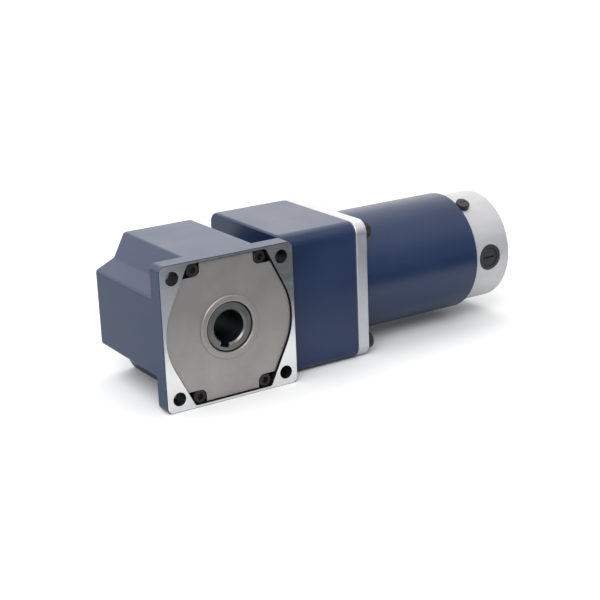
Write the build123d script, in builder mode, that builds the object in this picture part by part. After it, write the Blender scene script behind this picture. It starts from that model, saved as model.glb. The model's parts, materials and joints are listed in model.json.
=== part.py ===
from build123d import *
import os
from math import acos, atan, atan2, cos, hypot, pi, radians, sin, tan

# Right-angle hollow-shaft gearmotor.
# Origin: centre of the output bore on the mounting face.  +Y runs through the output bore away
# from the mounting face, +X runs along the motor away from the output, +Z is up.

# ---- driving dimensions (mm) ----
SIZE = 90.0                 # square of mounting flange, reduction box and motor flange
CORNER = 4.0                # corner radius of the mounting flange
BOX_CORNER = 8.0            # corner radius of the reduction box and motor flange
FLANGE_DEPTH = 12.0
HOLE_PITCH = 73.54          # square pitch of the four holes (104 mm bolt circle)
MOUNT_HOLE = 4.25           # radius of the mounting holes
BLOCK_DEPTH = 89.0          # rear face of the output block
BOX_FRONT = 10.0            # front side of the reduction box, along Y
BOX_START = 44.0            # reduction box, along X
BOX_END = 98.2
MOTOR_Y = BOX_FRONT + SIZE / 2
LAY_Z = -22.0               # intermediate shaft, below the motor axis
BORE = 10.0                 # output bore radius
SHAFT = 15.0                # output shaft journal radius
SHAFT_ENDS = (1.6, 89.0)    # output shaft, along Y
BORE_KEY_WIDTH = 6.0
BORE_KEY_TOP = 12.8         # keyway floor, from the shaft axis
BORE_KEY_TURN = 20.0        # keyway, degrees from straight down
CAVITY = 37.0               # radius of the output gear chamber
CAVITY_FLOOR = 69.0
BOX_CAVITY = 40.0           # radius of the reduction chamber
BOX_FLOOR = 58.0
FIT = 0.05                  # radial play of parts that only slide together
LIP_PLAY = 0.08             # clearance of the seal lips
EDGE = 0.4                  # small chamfers on machined edges
NEAR = 0.01                 # slack when an edge is picked by its place

# ---- gears ----
PRESSURE = radians(20)
BEVEL_MODULE = 1.75
BEVEL_TEETH = (12, 36)      # pinion, ring
BEVEL_SHIFT = 0.4
BEVEL_FACE = 9.0
SPUR_MODULE = 0.8
SPUR_TEETH = (15, 40)       # pinion, gear, in both spur stages
SPUR_SHIFT = 0.2
BEVEL_PLAY = 0.12           # thinning of each tooth at the pitch circle
SPUR_PLAY = 0.06

# ---- bearings: bore, outside diameter, width, balls ----
OUTPUT_BEARING = (30.0, 47.0, 9.0, 14)
PINION_BEARING = (15.0, 28.0, 7.0, 10)
LAY_BEARING = (6.0, 13.0, 5.0, 8)
ROTOR_BEARING = (8.0, 22.0, 7.0, 7)
OUTPUT_BEARING_AT = (14.0, 71.0)
FRONT_SEAL_AT = (4.5, 11.5)
REAR_SEAL_AT = (81.8, 88.6)
PINION_BEARING_AT = (39.0, 49.0)
LAY_BEARING_AT = (53.0, 96.0)
ROTOR_BEARING_AT = (99.5, 222.0)
RACE_PLAY = 0.08            # grooves of the rings round the balls
CAGE_PLAY = 0.06            # pockets of the cages round the balls
CAGE_INSET = 0.12           # cage ends, as a share of the bearing's width

# ---- motor, along X ----
PLATE_START = 98.6
PLATE_END = 106.5
TUBE = 40.0
TUBE_BORE = 37.0
TUBE_END = 200.6
CAP = 37.3
CAP_END = 231.4
CAP_WALL = 222.0            # inner face of the cap's end wall
CAP_SPIGOT = 3.0            # length of the cap that sits inside the tube
ARMATURE = 27.5
ARMATURE_AT = (122.0, 182.0)
SLOTS = 12
SLOT_CENTRE = 21.5
MAGNET = 28.6
BRUSH_X = 213.6
COMMUTATOR = 11.0
BOLT_RADIUS = 30.4          # tie bolts, from the motor axis
ROTOR_JOURNAL = ROTOR_BEARING[0] / 2
LEAD_X = 205.6
LEAD_RADIUS = 27.0          # run of the leads round the commutator
LEAD_ANGLE = 117.0          # lead outlet, from +Y towards +Z about the motor axis

CORNERS = [(-1, -1), (-1, 1), (1, -1), (1, 1)]
ENDS = [-1, 1]

os.makedirs("parts", exist_ok=True)


# ---- planes of the three axes: local z runs along the shaft ----
def across_output(y):
    return Plane(origin=(0, y, 0), x_dir=(1, 0, 0), z_dir=(0, 1, 0))


def across_motor(x):
    return Plane(origin=(x, MOTOR_Y, 0), x_dir=(0, 1, 0), z_dir=(1, 0, 0))


def across_lay(x):
    return Plane(origin=(x, MOTOR_Y, LAY_Z), x_dir=(0, 1, 0), z_dir=(1, 0, 0))


def radial(x, angle, radius):
    """Plane facing outwards at a radius from the motor axis, angle from +Y towards +Z."""
    outward = (0, cos(radians(angle)), sin(radians(angle)))
    origin = (x, MOTOR_Y + radius * outward[1], radius * outward[2])
    return Plane(origin=origin, x_dir=(1, 0, 0), z_dir=outward)


def save(part, name):
    part.label = name
    export_step(part, f"parts/{name}.step")


# ---- shapes that repeat ----
def turned(plane_at, steps):
    """Solid of revolution from (start, end, radius) steps along one axis."""
    with BuildPart() as body:
        for start, end, radius in steps:
            with BuildSketch(plane_at(start)):
                Circle(radius)
            extrude(amount=end - start)
    return body.part


def sleeve(plane_at, start, end, inner, outer):
    with BuildPart() as body:
        with BuildSketch(plane_at(start)):
            Circle(outer)
            Circle(inner, mode=Mode.SUBTRACT)
        extrude(amount=end - start)
    return body.part


def retaining_ring(plane_at, start, thickness, inner, outer):
    """Snap ring with the gap that lets it open."""
    with BuildPart() as body:
        with BuildSketch(plane_at(start)):
            Circle(outer)
            Circle(inner, mode=Mode.SUBTRACT)
            with Locations((0, outer)):
                Rectangle(0.5 * inner, outer, mode=Mode.SUBTRACT)
        extrude(amount=thickness)
    return body.part


def key_bar(plane_at, start, end, width, low, high):
    """Rectangular key (or the slot for one) lying along an axis, on the local +y side."""
    with BuildPart() as body:
        with BuildSketch(plane_at(start)):
            with Locations((0, (low + high) / 2)):
                Rectangle(width, high - low)
        extrude(amount=end - start)
    return body.part


def cap_screw(head, head_length, shank, shank_length, key_width):
    """Socket cap screw: local z runs from under the head along the shank."""
    with BuildPart() as screw:
        with BuildSketch(Plane.XY.offset(-head_length)):
            Circle(head)
        extrude(amount=head_length)
        fillet(screw.faces().sort_by(Axis.Z)[0].edges(), 0.1 * head)
        with BuildSketch():
            Circle(shank)
        extrude(amount=shank_length)
        chamfer(screw.faces().sort_by(Axis.Z)[-1].edges(), 0.2 * shank)
        with BuildSketch(Plane.XY.offset(-head_length)):
            RegularPolygon(key_width / 2, 6, major_radius=False)
        extrude(amount=0.55 * head_length, mode=Mode.SUBTRACT)
    return screw.part


def socket_screws(planes, **sizes):
    """Cap screws; each plane lies under a head and points along the shank."""
    with BuildPart() as screws:
        with Locations(*planes):
            add(cap_screw(**sizes))
    return screws.part


def lip_seal(plane_at, dry_face, oil_face, inner, outer):
    """Shaft seal: a shallow step in its dry face, a deep groove behind the lip on the oil side."""
    depth = oil_face - dry_face
    wall = outer - inner
    with BuildPart() as seal:
        with BuildSketch(plane_at(dry_face)):
            Circle(outer)
            Circle(inner, mode=Mode.SUBTRACT)
        extrude(amount=depth)
        for face, cut, low, high in ((dry_face, 0.1, 0.15, 0.65), (oil_face, -0.6, 0.3, 0.75)):
            with BuildSketch(plane_at(face)):
                Circle(inner + high * wall)
                Circle(inner + low * wall, mode=Mode.SUBTRACT)
            extrude(amount=cut * depth, mode=Mode.SUBTRACT)
    return seal.part


# ---- ball bearings ----
def race_radii(size):
    """Pitch radius, half gap between the races, ball radius."""
    bore, outside, width, balls = size
    wall = (outside - bore) / 2
    return (bore + outside) / 4, 0.2 * wall, 0.3 * wall


def bearing_rings(plane_at, starts, size, is_outer):
    bore, outside, width, balls = size
    pitch, gap, ball = race_radii(size)
    low, high = (pitch + gap, outside / 2) if is_outer else (bore / 2, pitch - gap)
    with BuildPart() as rings:
        for start in starts:
            with BuildSketch(plane_at(start)):
                Circle(high)
                Circle(low, mode=Mode.SUBTRACT)
            extrude(amount=width)
            with BuildSketch(Plane(plane_at(start + width / 2).origin, x_dir=(0, 0, 1),
                                   z_dir=plane_at(0).x_dir)):
                with Locations((pitch, 0)):
                    Circle(ball + RACE_PLAY)
            revolve(axis=Axis(plane_at(start).origin, plane_at(start).z_dir), mode=Mode.SUBTRACT)
    return rings.part


def bearing_balls(plane_at, starts, size):
    bore, outside, width, balls = size
    pitch, gap, ball = race_radii(size)
    with BuildPart() as spheres:
        for start in starts:
            with Locations(plane_at(start + width / 2)):
                with PolarLocations(pitch, balls):
                    Sphere(ball)
    return spheres.part


def bearing_cages(plane_at, starts, size):
    bore, outside, width, balls = size
    pitch, gap, ball = race_radii(size)
    with BuildPart() as cages:
        for start in starts:
            with BuildSketch(plane_at(start + CAGE_INSET * width)):
                Circle(pitch + gap / 2)
                Circle(pitch - gap / 2, mode=Mode.SUBTRACT)
            extrude(amount=(1 - 2 * CAGE_INSET) * width)
        for start in starts:
            with Locations(plane_at(start + width / 2)):
                with PolarLocations(pitch, balls):
                    Cylinder(ball + CAGE_PLAY, 4 * gap, rotation=(0, 90, 0), mode=Mode.SUBTRACT)
    return cages.part


# ---- gear teeth ----
def involute(radius, base):
    angle = acos(min(1.0, base / radius))
    return tan(angle) - angle


def tooth_flank(teeth, module, shift, play):
    """(radius, half angle) of one tooth from root to tip; teeth may be a virtual number."""
    pitch = teeth * module / 2
    base = pitch * cos(PRESSURE)
    root = pitch - (1.25 - shift) * module
    tip = pitch + (1 + shift) * module
    half = (pi / 2 + 2 * shift * tan(PRESSURE)) / teeth - play / (2 * pitch)
    start = max(root, base)
    steps = 5
    radii = [start + (tip - start) * step / steps for step in range(steps + 1)]
    flank = [(radius, half + involute(pitch, base) - involute(radius, base)) for radius in radii]
    if root < base:
        flank.insert(0, (root, flank[0][1]))
    return flank


def toothed_face(teeth, flank, turn, scale=1.0):
    """Outline of a whole gear: tooth number 0 is centred at the angle turn."""
    def point(radius, angle):
        return (scale * radius * cos(angle), scale * radius * sin(angle))

    corners = []
    for tooth in range(teeth):
        centre = turn + tooth * 2 * pi / teeth
        corners += [point(radius, centre - half) for radius, half in flank]
        corners += [point(radius, centre + half) for radius, half in reversed(flank)]
    with BuildSketch() as face:
        with BuildLine():
            Polyline(corners, close=True)
        make_face()
    return face.sketch


def spur_teeth(plane_at, start, end, teeth, shift, turn):
    with BuildPart() as gear:
        with BuildSketch(plane_at(start)):
            add(toothed_face(teeth, tooth_flank(teeth, SPUR_MODULE, shift, SPUR_PLAY), turn))
        extrude(amount=end - start)
    return gear.part


def bevel_sizes(teeth, mate, shift):
    """Pitch angle, tip point and root point (apex distance, radius) at the large end."""
    angle = atan(teeth / mate)
    radius = teeth * BEVEL_MODULE / 2
    apex = mate * BEVEL_MODULE / 2
    rise = (1 + shift) * BEVEL_MODULE
    fall = (1.25 - shift) * BEVEL_MODULE
    tip = (apex - rise * sin(angle), radius + rise * cos(angle))
    root = (apex + fall * sin(angle), radius - fall * cos(angle))
    return angle, tip, root


def bevel_teeth(plane_at_apex, teeth, mate, shift, turn, near, far, blank):
    """Straight bevel gear: tooth form drawn on the back cone, run to the apex, cut to a blank.

    plane_at_apex(distance) lies across the gear's axis; blank lists (distance, radius)."""
    angle, tip, root = bevel_sizes(teeth, mate, shift)
    apex = mate * BEVEL_MODULE / 2
    pitch = teeth * BEVEL_MODULE / 2
    flank = []
    for radius, half in tooth_flank(teeth / cos(angle), BEVEL_MODULE, shift, BEVEL_PLAY):
        height = radius - pitch / cos(angle)
        distance = apex - height * sin(angle)
        flank.append(((pitch + height * cos(angle)) * apex / distance, half / cos(angle)))
    with BuildPart() as gear:
        for distance in (near, far):
            with BuildSketch(plane_at_apex(distance)):
                add(toothed_face(teeth, flank, turn, distance / apex))
        loft(ruled=True)
        base = plane_at_apex(0)
        with BuildSketch(Plane(base.origin, x_dir=base.z_dir, z_dir=base.x_dir)):
            with BuildLine():
                Polyline(blank, close=True)
            make_face()
        revolve(axis=Axis(base.origin, base.z_dir), mode=Mode.INTERSECT)
    return gear.part


# ---- square-pitch positions ----
def corner_points(pitch_x, pitch_y):
    return [(i * pitch_x / 2, j * pitch_y / 2) for i, j in CORNERS]


# ======================= housing and output cover =======================
TOP_HALF = 24.0             # half width of the output block's top
WAIST = (32.0, 30.0)        # inner corner of its shoulders
SIDE_HALF = 24.0            # half height of its flat side
BLOCK_ROUND = 2.5           # corners between its sides
COVER_FACE = 1.4            # cover, set back from the mounting face
COVER_BACK = 7.6
COVER_BOSS = 19.8           # raised ring round the shaft
COVER_BOSS_FACE = 0.2
COVER_BOSS_EDGE = 1.0
RECESS_FLOOR = 8.0
RECESS_PLAY = 0.35
COVER_ROUND = 42.5
COVER_CORNER = (26.0, 43.0)
COVER_CORNER_ROUND = 2.2
COVER_HOLE = 15.6           # radius of the hole round the shaft
COVER_SCREW = (22.5, 39.0)
POCKET_AT = (18.0, 34.8)
POCKET_SIZE = 16.0
POCKET_CORNER = 4.0
POCKET_FLOOR = 5.4
SCREW_CLEARANCE = 2.75
SPIGOT_END = 24.0
RELIEF = (27.0, 34.0, 13.0) # ring cut behind the cover: radii, floor
BOX_EDGE = 1.5
BLOCK_EDGE = 2.0
FLANGE_EDGE = 0.8
REAR_BEARING_END = 80.0
REAR_LIP = (20.0, 81.5)     # lip between bearing and seal: radius, end
SEAL = 21.0                 # outside radius of the output seals
REAR_BOSS = (25.0, 0.8)     # raised ring round the rear seal: radius, height
PINION_SEAT = (30.0, 12.6)  # start of the pinion's bore and its radius
PINION_GROOVE = (56.0, 1.1, 14.6)
COVER_THREAD = (2.5, 14.0)  # radius and depth of the screw holes
MOTOR_THREAD = (3.0, 22.0)


def cover_outline(grow):
    """Round cover with tangent flanks that run out to a flat top and bottom."""
    radius = COVER_ROUND + grow
    corner = (COVER_CORNER[0] + grow, COVER_CORNER[1] + grow)
    turn = atan2(corner[1], corner[0]) - acos(radius / hypot(*corner))
    touch = (radius * cos(turn), radius * sin(turn))
    with BuildSketch() as outline:
        with BuildLine():
            ThreePointArc((touch[0], -touch[1]), (radius, 0), touch)
            Polyline(touch, corner, (-corner[0], corner[1]), (-touch[0], touch[1]))
            ThreePointArc((-touch[0], touch[1]), (-radius, 0), (-touch[0], -touch[1]))
            Polyline((-touch[0], -touch[1]), (-corner[0], -corner[1]), (corner[0], -corner[1]),
                     (touch[0], -touch[1]))
        make_face()
        ends = outline.vertices().filter_by(lambda v: abs(abs(v.Y) - corner[1]) < NEAR)
        fillet(ends, COVER_CORNER_ROUND)
    return outline.sketch


# reduction box, before it joins the casting
with BuildPart() as reduction_box:
    with BuildSketch(across_motor(BOX_START)):
        RectangleRounded(SIZE, SIZE, BOX_CORNER)
    extrude(amount=BOX_END - BOX_START)
    fillet(reduction_box.faces().sort_by(Axis.X)[0].edges(), BOX_EDGE)
    chamfer(reduction_box.faces().sort_by(Axis.X)[-1].edges(), EDGE)

# square mounting flange, before it joins the casting
with BuildPart() as mounting_flange:
    with BuildSketch(across_output(0)):
        RectangleRounded(SIZE, SIZE, CORNER)
    extrude(amount=FLANGE_DEPTH)
    fillet(mounting_flange.faces().sort_by(Axis.Y)[-1].edges(), FLANGE_EDGE)
    chamfer(mounting_flange.faces().sort_by(Axis.Y)[0].edges(), EDGE)

with BuildPart() as gear_housing:
    # output block with its sloping shoulders
    with BuildSketch(across_output(FLANGE_DEPTH / 2)) as block:
        with BuildLine():
            Polyline(
                (-TOP_HALF, SIZE / 2), (TOP_HALF, SIZE / 2), WAIST, (SIZE / 2, SIDE_HALF),
                (SIZE / 2, -SIDE_HALF), (WAIST[0], -WAIST[1]), (TOP_HALF, -SIZE / 2),
                (-TOP_HALF, -SIZE / 2), (-WAIST[0], -WAIST[1]), (-SIZE / 2, -SIDE_HALF),
                (-SIZE / 2, SIDE_HALF), (-WAIST[0], WAIST[1]), close=True,
            )
        make_face()
        fillet(block.vertices(), BLOCK_ROUND)
    extrude(amount=BLOCK_DEPTH - FLANGE_DEPTH / 2)
    fillet(gear_housing.faces().sort_by(Axis.Y)[-1].edges(), BLOCK_EDGE)
    add(mounting_flange.part)
    add(reduction_box.part)
    # raised ring round the rear seal
    with BuildSketch(across_output(BLOCK_DEPTH)):
        Circle(REAR_BOSS[0])
    extrude(amount=REAR_BOSS[1])
    chamfer(gear_housing.faces().sort_by(Axis.Y)[-1].edges(), EDGE)
    # output gear chamber, cover recess and the rear bearing and seal seats
    with BuildSketch(across_output(0)):
        add(cover_outline(RECESS_PLAY))
    extrude(amount=RECESS_FLOOR, mode=Mode.SUBTRACT)
    for start, end, radius in (
        (RECESS_FLOOR, CAVITY_FLOOR, CAVITY),
        (CAVITY_FLOOR, REAR_BEARING_END, OUTPUT_BEARING[1] / 2),
        (REAR_BEARING_END, REAR_LIP[1], REAR_LIP[0]),
        (REAR_LIP[1], BLOCK_DEPTH + REAR_BOSS[1], SEAL),
    ):
        with BuildSketch(across_output(start)):
            Circle(radius)
        extrude(amount=end - start, mode=Mode.SUBTRACT)
    # pinion bearing seats, snap-ring groove and reduction chamber
    for start, end, radius in (
        (PINION_SEAT[0], PINION_BEARING_AT[0], PINION_SEAT[1]),
        (PINION_BEARING_AT[0], BOX_FLOOR, PINION_BEARING[1] / 2),
        (PINION_GROOVE[0], PINION_GROOVE[0] + PINION_GROOVE[1], PINION_GROOVE[2]),
        (BOX_FLOOR, BOX_END, BOX_CAVITY),
    ):
        with BuildSketch(across_motor(start)):
            Circle(radius)
        extrude(amount=end - start, mode=Mode.SUBTRACT)
    with BuildSketch(across_lay(LAY_BEARING_AT[0])):
        Circle(LAY_BEARING[1] / 2)
    extrude(amount=BOX_FLOOR - LAY_BEARING_AT[0], mode=Mode.SUBTRACT)
    # screw holes: mounting, output cover, motor flange
    with BuildSketch(across_output(0)):
        with Locations(*corner_points(HOLE_PITCH, HOLE_PITCH)):
            Circle(MOUNT_HOLE)
    extrude(amount=FLANGE_DEPTH, mode=Mode.SUBTRACT)
    with BuildSketch(across_output(RECESS_FLOOR)):
        with Locations(*corner_points(2 * COVER_SCREW[0], 2 * COVER_SCREW[1])):
            Circle(COVER_THREAD[0] + FIT)
    extrude(amount=COVER_THREAD[1], mode=Mode.SUBTRACT)
    with BuildSketch(across_motor(BOX_END)):
        with Locations(*corner_points(HOLE_PITCH, HOLE_PITCH)):
            Circle(MOTOR_THREAD[0] + FIT)
    extrude(amount=-MOTOR_THREAD[1], mode=Mode.SUBTRACT)
save(gear_housing.part, "gear_housing")

with BuildPart() as output_cover:
    with BuildSketch(across_output(COVER_FACE)):
        add(cover_outline(0))
    extrude(amount=COVER_BACK - COVER_FACE)
    chamfer(output_cover.faces().sort_by(Axis.Y)[0].edges(), EDGE)
    # raised ring round the shaft, and the spigot that centres the cover
    add(turned(across_output, [
        (COVER_BOSS_FACE, COVER_FACE, COVER_BOSS), (COVER_BACK, SPIGOT_END, CAVITY - FIT),
    ]))
    for start, end, radius in (
        (0.0, FRONT_SEAL_AT[0], COVER_HOLE),
        (FRONT_SEAL_AT[0], OUTPUT_BEARING_AT[0], SEAL),
        (OUTPUT_BEARING_AT[0], SPIGOT_END, OUTPUT_BEARING[1] / 2),
    ):
        with BuildSketch(across_output(start)):
            Circle(radius)
        extrude(amount=end - start, mode=Mode.SUBTRACT)
    boss_rims = output_cover.edges().filter_by(GeomType.CIRCLE)
    fillet(boss_rims.filter_by(lambda rim: rim.center().Y < COVER_BOSS_FACE + NEAR), COVER_BOSS_EDGE)
    # relief round the bearing seat
    with BuildSketch(across_output(RELIEF[2])):
        Circle(RELIEF[1])
        Circle(RELIEF[0], mode=Mode.SUBTRACT)
    extrude(amount=SPIGOT_END - RELIEF[2], mode=Mode.SUBTRACT)
    # corner pockets for the screw heads
    with BuildSketch(across_output(COVER_FACE)):
        pitch = [2 * low + POCKET_SIZE for low in POCKET_AT]
        with Locations(*corner_points(*pitch)):
            RectangleRounded(POCKET_SIZE, POCKET_SIZE, POCKET_CORNER)
    extrude(amount=POCKET_FLOOR - COVER_FACE, mode=Mode.SUBTRACT)
    with BuildSketch(across_output(POCKET_FLOOR)):
        with Locations(*corner_points(2 * COVER_SCREW[0], 2 * COVER_SCREW[1])):
            Circle(SCREW_CLEARANCE)
    extrude(amount=COVER_BACK - POCKET_FLOOR, mode=Mode.SUBTRACT)
save(output_cover.part, "output_cover")

with BuildPart() as output_cover_gasket:
    with BuildSketch(across_output(COVER_BACK)):
        add(cover_outline(-EDGE))
        Circle(CAVITY + FIT, mode=Mode.SUBTRACT)
        with Locations(*corner_points(2 * COVER_SCREW[0], 2 * COVER_SCREW[1])):
            Circle(SCREW_CLEARANCE, mode=Mode.SUBTRACT)
    extrude(amount=RECESS_FLOOR - COVER_BACK)
save(output_cover_gasket.part, "output_cover_gasket")

with BuildPart() as output_cover_screws:
    add(socket_screws(
        [Plane(origin=(i * COVER_SCREW[0], POCKET_FLOOR, j * COVER_SCREW[1]), x_dir=(1, 0, 0),
               z_dir=(0, 1, 0)) for i, j in CORNERS],
        head=4.0, head_length=4.0, shank=COVER_THREAD[0], shank_length=14.0, key_width=4.0,
    ))
save(output_cover_screws.part, "output_cover_screws")


# ======================= output shaft group =======================
GEAR_SEAT = 16.0
COLLAR = (23.0, 28.0, 19.0)     # start, end, radius
SNAP_RING = (80.0, 1.2, 14.4)   # output snap ring: start, thickness, groove radius
SNAP_RING_OUT = 17.5
OUTPUT_SPACER = 18.0
bevel_ring = bevel_sizes(BEVEL_TEETH[1], BEVEL_TEETH[0], -BEVEL_SHIFT)
bevel_pinion = bevel_sizes(BEVEL_TEETH[0], BEVEL_TEETH[1], BEVEL_SHIFT)
cone = hypot(BEVEL_TEETH[0], BEVEL_TEETH[1]) * BEVEL_MODULE / 2
small_end = 1 - BEVEL_FACE / cone
RING_FACE = MOTOR_Y - small_end * bevel_ring[2][0]      # flat face inside the ring's teeth
RING_KEY = (30.0, 43.0)         # key of the ring gear, along Y
KEY_WIDTH = 5.0
KEY_SEAT = (13.5, 17.5)         # slot in the shaft, from the axis
KEY_BODY = (13.6, 18.2)
KEYWAY = (14.6, 18.4)           # slot in the ring gear
RING_BLANK = (6.0, 28.0)        # the tooth form runs between these apex distances
BORE_MOUTH = 1.0

with BuildPart() as output_shaft:
    add(turned(across_output, [
        (SHAFT_ENDS[0], COLLAR[0], SHAFT), COLLAR, (COLLAR[1], RING_FACE, GEAR_SEAT),
        (RING_FACE, SHAFT_ENDS[1], SHAFT),
    ]))
    rims = output_shaft.edges().filter_by(GeomType.CIRCLE).sort_by(Axis.Y)
    chamfer([rims[0], rims[-1]], EDGE)
    with BuildSketch(across_output(SHAFT_ENDS[0])):
        Circle(BORE)
    extrude(amount=SHAFT_ENDS[1] - SHAFT_ENDS[0], mode=Mode.SUBTRACT)
    mouths = output_shaft.edges().filter_by(GeomType.CIRCLE)
    chamfer(mouths.filter_by(lambda rim: abs(rim.radius - BORE) < NEAR), BORE_MOUTH)
    # keyway through the bore, seat of the ring gear's key, snap-ring groove
    with BuildSketch(across_output(SHAFT_ENDS[0])):
        with Locations(Location((0, 0, 0), (0, 0, BORE_KEY_TURN))):
            with Locations((0, BORE_KEY_TOP / 2)):
                Rectangle(BORE_KEY_WIDTH, BORE_KEY_TOP)
    extrude(amount=SHAFT_ENDS[1] - SHAFT_ENDS[0], mode=Mode.SUBTRACT)
    add(key_bar(across_output, *RING_KEY, KEY_WIDTH, -KEY_SEAT[1], -KEY_SEAT[0]), mode=Mode.SUBTRACT)
    with BuildSketch(across_output(SNAP_RING[0])):
        Circle(SHAFT + 1)
        Circle(SNAP_RING[2], mode=Mode.SUBTRACT)
    extrude(amount=SNAP_RING[1], mode=Mode.SUBTRACT)
save(output_shaft.part, "output_shaft")


def ring_plane(distance):
    """Plane across the output axis at a distance from the bevel apex, towards the flange."""
    return Plane(origin=(0, MOTOR_Y - distance, 0), x_dir=(1, 0, 0), z_dir=(0, -1, 0))


# points of the ring gear's back, (distance, radius) from the apex
RING_RIM = (19.0, 30.0)
RING_WEB = (20.5, 22.5)

with BuildPart() as ring_gear:
    tip, root = bevel_ring[1:]
    hub = MOTOR_Y - COLLAR[1]
    inner_tip = (small_end * tip[0], small_end * tip[1])
    inner_root = (small_end * root[0], small_end * root[1])
    add(bevel_teeth(
        ring_plane, BEVEL_TEETH[1], BEVEL_TEETH[0], -BEVEL_SHIFT, pi / BEVEL_TEETH[1], *RING_BLANK,
        [inner_tip, tip, root, RING_RIM, RING_WEB, (hub, RING_WEB[1]), (hub, GEAR_SEAT),
         (inner_root[0], GEAR_SEAT), inner_root],
    ))
    add(key_bar(across_output, COLLAR[1], RING_FACE, KEY_WIDTH, -KEYWAY[1], -KEYWAY[0]),
        mode=Mode.SUBTRACT)
save(ring_gear.part, "ring_gear")

with BuildPart() as ring_gear_key:
    add(key_bar(across_output, *RING_KEY, KEY_WIDTH, -KEY_BODY[1], -KEY_BODY[0]))
save(ring_gear_key.part, "ring_gear_key")

with BuildPart() as output_spacer:
    add(sleeve(across_output, RING_FACE, OUTPUT_BEARING_AT[1], SHAFT, OUTPUT_SPACER))
save(output_spacer.part, "output_spacer")

with BuildPart() as output_snap_ring:
    add(retaining_ring(across_output, *SNAP_RING, SNAP_RING_OUT))
save(output_snap_ring.part, "output_snap_ring")

with BuildPart() as output_seal_front:
    add(lip_seal(across_output, *FRONT_SEAL_AT, SHAFT + LIP_PLAY, SEAL))
save(output_seal_front.part, "output_seal_front")

with BuildPart() as output_seal_rear:
    add(lip_seal(across_output, REAR_SEAL_AT[1], REAR_SEAL_AT[0], SHAFT + LIP_PLAY, SEAL))
save(output_seal_rear.part, "output_seal_rear")


# ======================= bevel pinion shaft group =======================
SECOND_GEAR_AT = (66.0, 76.0)
PINION_BLANK = (20.0, 40.0)     # the tooth form runs between these apex distances
PINION_NECK = (34.5, 9.0)       # collar behind the teeth: start, radius
PINION_JOURNAL = PINION_BEARING[0] / 2
PINION_SEAT_RADIUS = 7.0        # seat of the second-stage gear
PINION_SHAFT_END = 79.0
PINION_JOURNAL_END = 56.0
SECOND_KEY = (67.0, 75.0)
SECOND_KEY_WIDTH = 4.0
SECOND_KEY_SEAT = (5.2, 7.8)    # slot in the shaft, from the axis
SECOND_KEY_TOP = 8.7
SECOND_KEYWAY = (6.0, 8.8)      # slot in the gear
SECOND_RING = (76.0, 1.0, 6.6)  # snap ring: start, thickness, groove radius
SECOND_RING_OUT = 9.2

with BuildPart() as bevel_pinion_shaft:
    tip, root = bevel_pinion[1:]
    inner_tip = (small_end * tip[0], small_end * tip[1])
    inner_root = (small_end * root[0], small_end * root[1])
    add(bevel_teeth(
        across_motor, BEVEL_TEETH[0], BEVEL_TEETH[1], BEVEL_SHIFT, pi, *PINION_BLANK,
        [inner_tip, tip, root, PINION_NECK, (PINION_BEARING_AT[0], PINION_NECK[1]),
         (PINION_BEARING_AT[0], 0), (inner_root[0], 0), inner_root],
    ))
    add(turned(across_motor, [
        (PINION_BEARING_AT[0], PINION_JOURNAL_END, PINION_JOURNAL),
        (PINION_JOURNAL_END, PINION_SHAFT_END, PINION_SEAT_RADIUS),
    ]))
    add(key_bar(across_motor, *SECOND_KEY, SECOND_KEY_WIDTH, *SECOND_KEY_SEAT), mode=Mode.SUBTRACT)
    with BuildSketch(across_motor(SECOND_RING[0])):
        Circle(PINION_JOURNAL)
        Circle(SECOND_RING[2], mode=Mode.SUBTRACT)
    extrude(amount=SECOND_RING[1], mode=Mode.SUBTRACT)
save(bevel_pinion_shaft.part, "bevel_pinion_shaft")

BETWEEN_BEARINGS = PINION_BEARING_AT[0] + PINION_BEARING[2]
PINION_SPACER = 9.5             # outside radius of the shaft spacers
OUTER_SPACER = 12.2             # inside radius of the spacer between the outer rings
PINION_RING_IN = 12.4           # inside radius of the housing's snap ring

with BuildPart() as pinion_spacers:
    for start, end, inner in (
        (BETWEEN_BEARINGS, PINION_BEARING_AT[1], PINION_JOURNAL),
        (PINION_JOURNAL_END, SECOND_GEAR_AT[0], PINION_SEAT_RADIUS),
    ):
        add(sleeve(across_motor, start, end, inner, PINION_SPACER))
save(pinion_spacers.part, "pinion_spacers")

with BuildPart() as pinion_bearing_spacer:
    add(sleeve(across_motor, BETWEEN_BEARINGS, PINION_BEARING_AT[1], OUTER_SPACER,
               PINION_BEARING[1] / 2))
save(pinion_bearing_spacer.part, "pinion_bearing_spacer")

with BuildPart() as pinion_bearing_snap_ring:
    add(retaining_ring(across_motor, *PINION_GROOVE[:2], PINION_RING_IN, PINION_GROOVE[2]))
save(pinion_bearing_snap_ring.part, "pinion_bearing_snap_ring")

with BuildPart() as second_stage_gear:
    add(spur_teeth(across_motor, *SECOND_GEAR_AT, SPUR_TEETH[1], -SPUR_SHIFT, -pi / 2))
    with BuildSketch(across_motor(SECOND_GEAR_AT[0])):
        Circle(PINION_SEAT_RADIUS)
    extrude(amount=SECOND_GEAR_AT[1] - SECOND_GEAR_AT[0], mode=Mode.SUBTRACT)
    add(key_bar(across_motor, *SECOND_GEAR_AT, SECOND_KEY_WIDTH, *SECOND_KEYWAY), mode=Mode.SUBTRACT)
save(second_stage_gear.part, "second_stage_gear")

with BuildPart() as second_gear_key:
    add(key_bar(across_motor, *SECOND_KEY, SECOND_KEY_WIDTH, SECOND_KEY_SEAT[0], SECOND_KEY_TOP))
save(second_gear_key.part, "second_gear_key")

with BuildPart() as second_gear_snap_ring:
    add(retaining_ring(across_motor, *SECOND_RING, SECOND_RING_OUT))
save(second_gear_snap_ring.part, "second_gear_snap_ring")


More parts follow.
